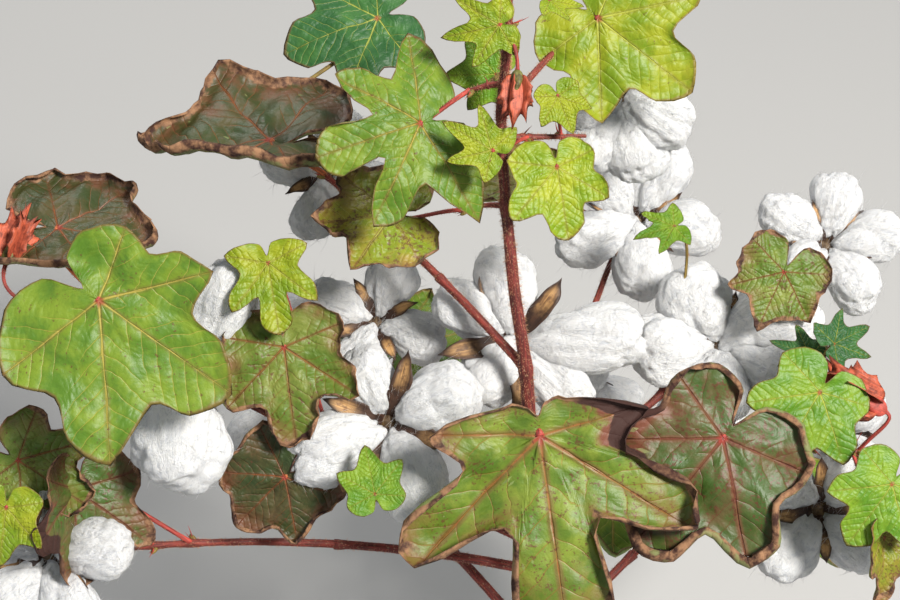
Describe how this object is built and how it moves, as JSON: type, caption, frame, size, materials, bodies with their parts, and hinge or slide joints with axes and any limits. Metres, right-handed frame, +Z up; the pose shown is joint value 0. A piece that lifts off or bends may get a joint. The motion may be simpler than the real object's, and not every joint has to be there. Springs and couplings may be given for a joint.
{
  "type": "cotton plant with open bolls",
  "caption": "Bushy rooted crop plant with a leaning hairy stem, zigzag fruiting branches, lobed leaves and open bolls of white fluff",
  "frame": {"origin": "centre of the flat cut under the main stem, at ground level", "axes": "+Z up; -Y is the sunny side that the picture looks at; +X to the right seen from there"},
  "size_m": [0.5225, 0.5242, 0.6324],
  "materials": {
    "bark": "rough, hairy, reddish brown",
    "foliage": "glossy green leaves with brown rims, white fluff and dry brown burs"
  },
  "bodies": {
    "root": {"main_stem": "bark", "bough_low_back": "bark", "mass_low_back": "foliage", "bough_low_front_right": "bark", "mass_low_front_right": "foliage", "bough_low_front_left": "bark", "mass_low_front_left": "foliage", "bough_low_back_right": "bark", "mass_low_back_right": "foliage", "bough_low_back_left": "bark", "mass_low_back_left": "foliage", "bough_left_low": "bark", "mass_left_low": "foliage", "bough_left_mid": "bark", "mass_left_mid": "foliage", "bough_right_back": "bark", "mass_right_back": "foliage", "bough_front": "bark", "mass_front": "foliage", "bough_back": "bark", "mass_back": "foliage", "bough_front_left": "bark", "mass_front_left": "foliage", "bough_front_right": "bark", "mass_front_right": "foliage", "bough_back_left": "bark", "mass_back_left": "foliage", "mass_mid_left": "foliage", "mass_high_mid": "foliage", "mass_high_right": "foliage", "mass_high_left": "foliage", "mass_top": "foliage"}
  },
  "joints": []
}
